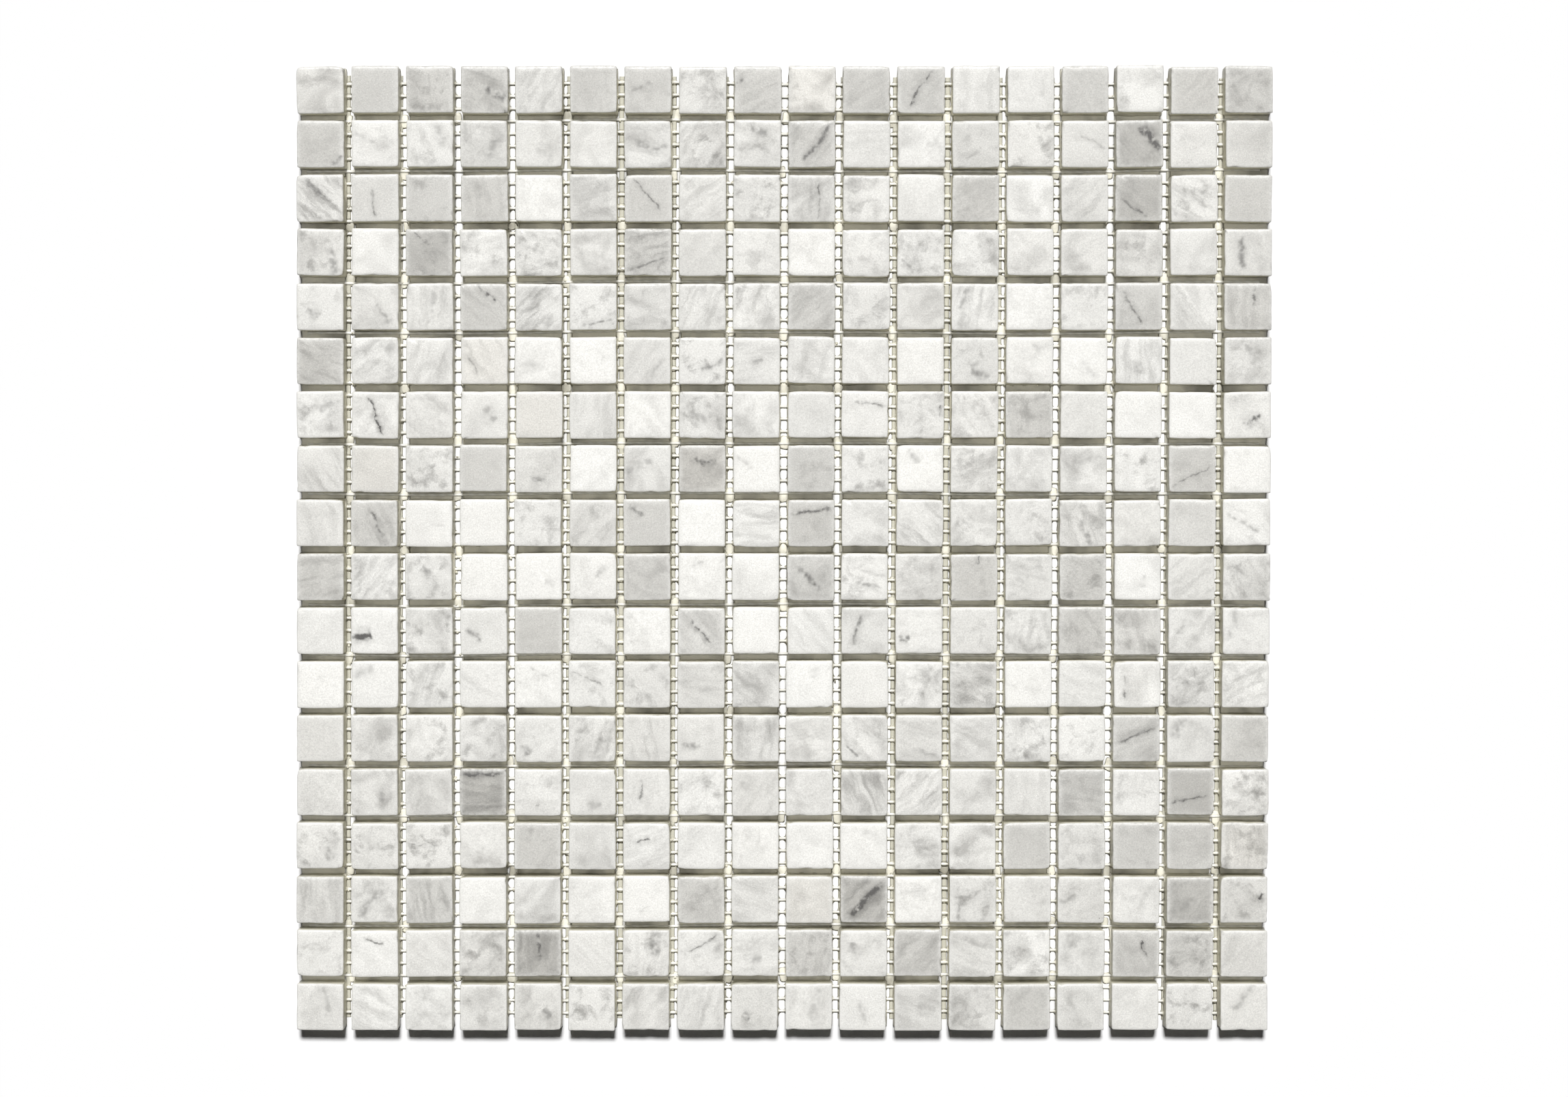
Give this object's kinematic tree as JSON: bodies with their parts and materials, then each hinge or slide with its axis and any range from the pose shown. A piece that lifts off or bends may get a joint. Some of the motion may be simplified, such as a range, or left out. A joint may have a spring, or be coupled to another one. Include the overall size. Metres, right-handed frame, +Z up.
{
  "type": "mosaic tile sheet",
  "caption": "Square honed marble tiles in straight rows with open grout joints, held on a laid glass-fibre scrim as one sheet for bedding in tile adhesive.",
  "frame": {"origin": "centre of the scrim's underside, on the floor that the sheet lies on", "axes": "+Z up, out of the tiles' faces; +X along a row of tiles, from row start to row end; +Y across the rows, towards row 1"},
  "size_m": [0.3044, 0.3018, 0.0078],
  "materials": {
    "marble": "honed, with tumbled edges and corners",
    "scrim_flat_yarn": "satin glass-fibre tape, wetted with resin",
    "scrim_raised_yarn": "glass-fibre yarn, wetted with resin",
    "glue": "dried cream-white glue, glossy where it has pooled"
  },
  "bodies": {
    "root": {"scrim_flat_yarns": "scrim_flat_yarn", "scrim_raised_yarns": "scrim_raised_yarn", "tiles_row_01": "marble", "tiles_row_02": "marble", "tiles_row_03": "marble", "tiles_row_04": "marble", "tiles_row_05": "marble", "tiles_row_06": "marble", "tiles_row_07": "marble", "tiles_row_08": "marble", "tiles_row_09": "marble", "tiles_row_10": "marble", "tiles_row_11": "marble", "tiles_row_12": "marble", "tiles_row_13": "marble", "tiles_row_14": "marble", "tiles_row_15": "marble", "tiles_row_16": "marble", "tiles_row_17": "marble", "tiles_row_18": "marble"}
  },
  "joints": []
}
